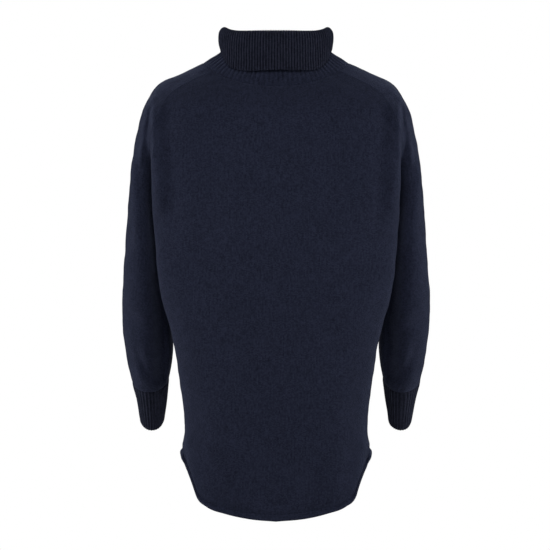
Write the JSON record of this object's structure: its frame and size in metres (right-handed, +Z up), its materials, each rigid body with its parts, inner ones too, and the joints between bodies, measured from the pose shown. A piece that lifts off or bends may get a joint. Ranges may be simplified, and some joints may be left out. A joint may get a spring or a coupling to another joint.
{
  "type": "turtleneck sweater",
  "caption": "Long raglan turtleneck jumper in fine dark knit, filled out and hollow as when worn, with a rolled ribbed collar, ribbed cuffs and a curved shirt-tail hem.",
  "frame": {"origin": "inside the neck, on the middle line, at the height where the garment's shoulders meet the neck and rest on the wearer", "axes": "+Z up, from the hem to the collar; -Y the wearer's back, which the picture shows; +Y the wearer's front; +X the wearer's right, which is the viewer's right in the picture"},
  "size_m": [0.56, 0.3183, 0.8781],
  "materials": {
    "knit": "fine plain knit of matte dark navy yarn with a soft bloom",
    "hem_knit": "the same plain knit, double, as a narrow tubular hem",
    "neck_rib_knit": "broad upright ribs of the same yarn",
    "rib_knit": "fine upright ribs of the same yarn"
  },
  "bodies": {
    "root": {"back_panel": "knit", "front_panel": "knit", "sleeve_left": "knit", "sleeve_right": "knit", "hem_band_back": "hem_knit", "hem_band_front": "hem_knit", "neck_rib": "neck_rib_knit", "collar": "rib_knit", "cuff_left": "rib_knit", "cuff_right": "rib_knit"}
  },
  "joints": []
}
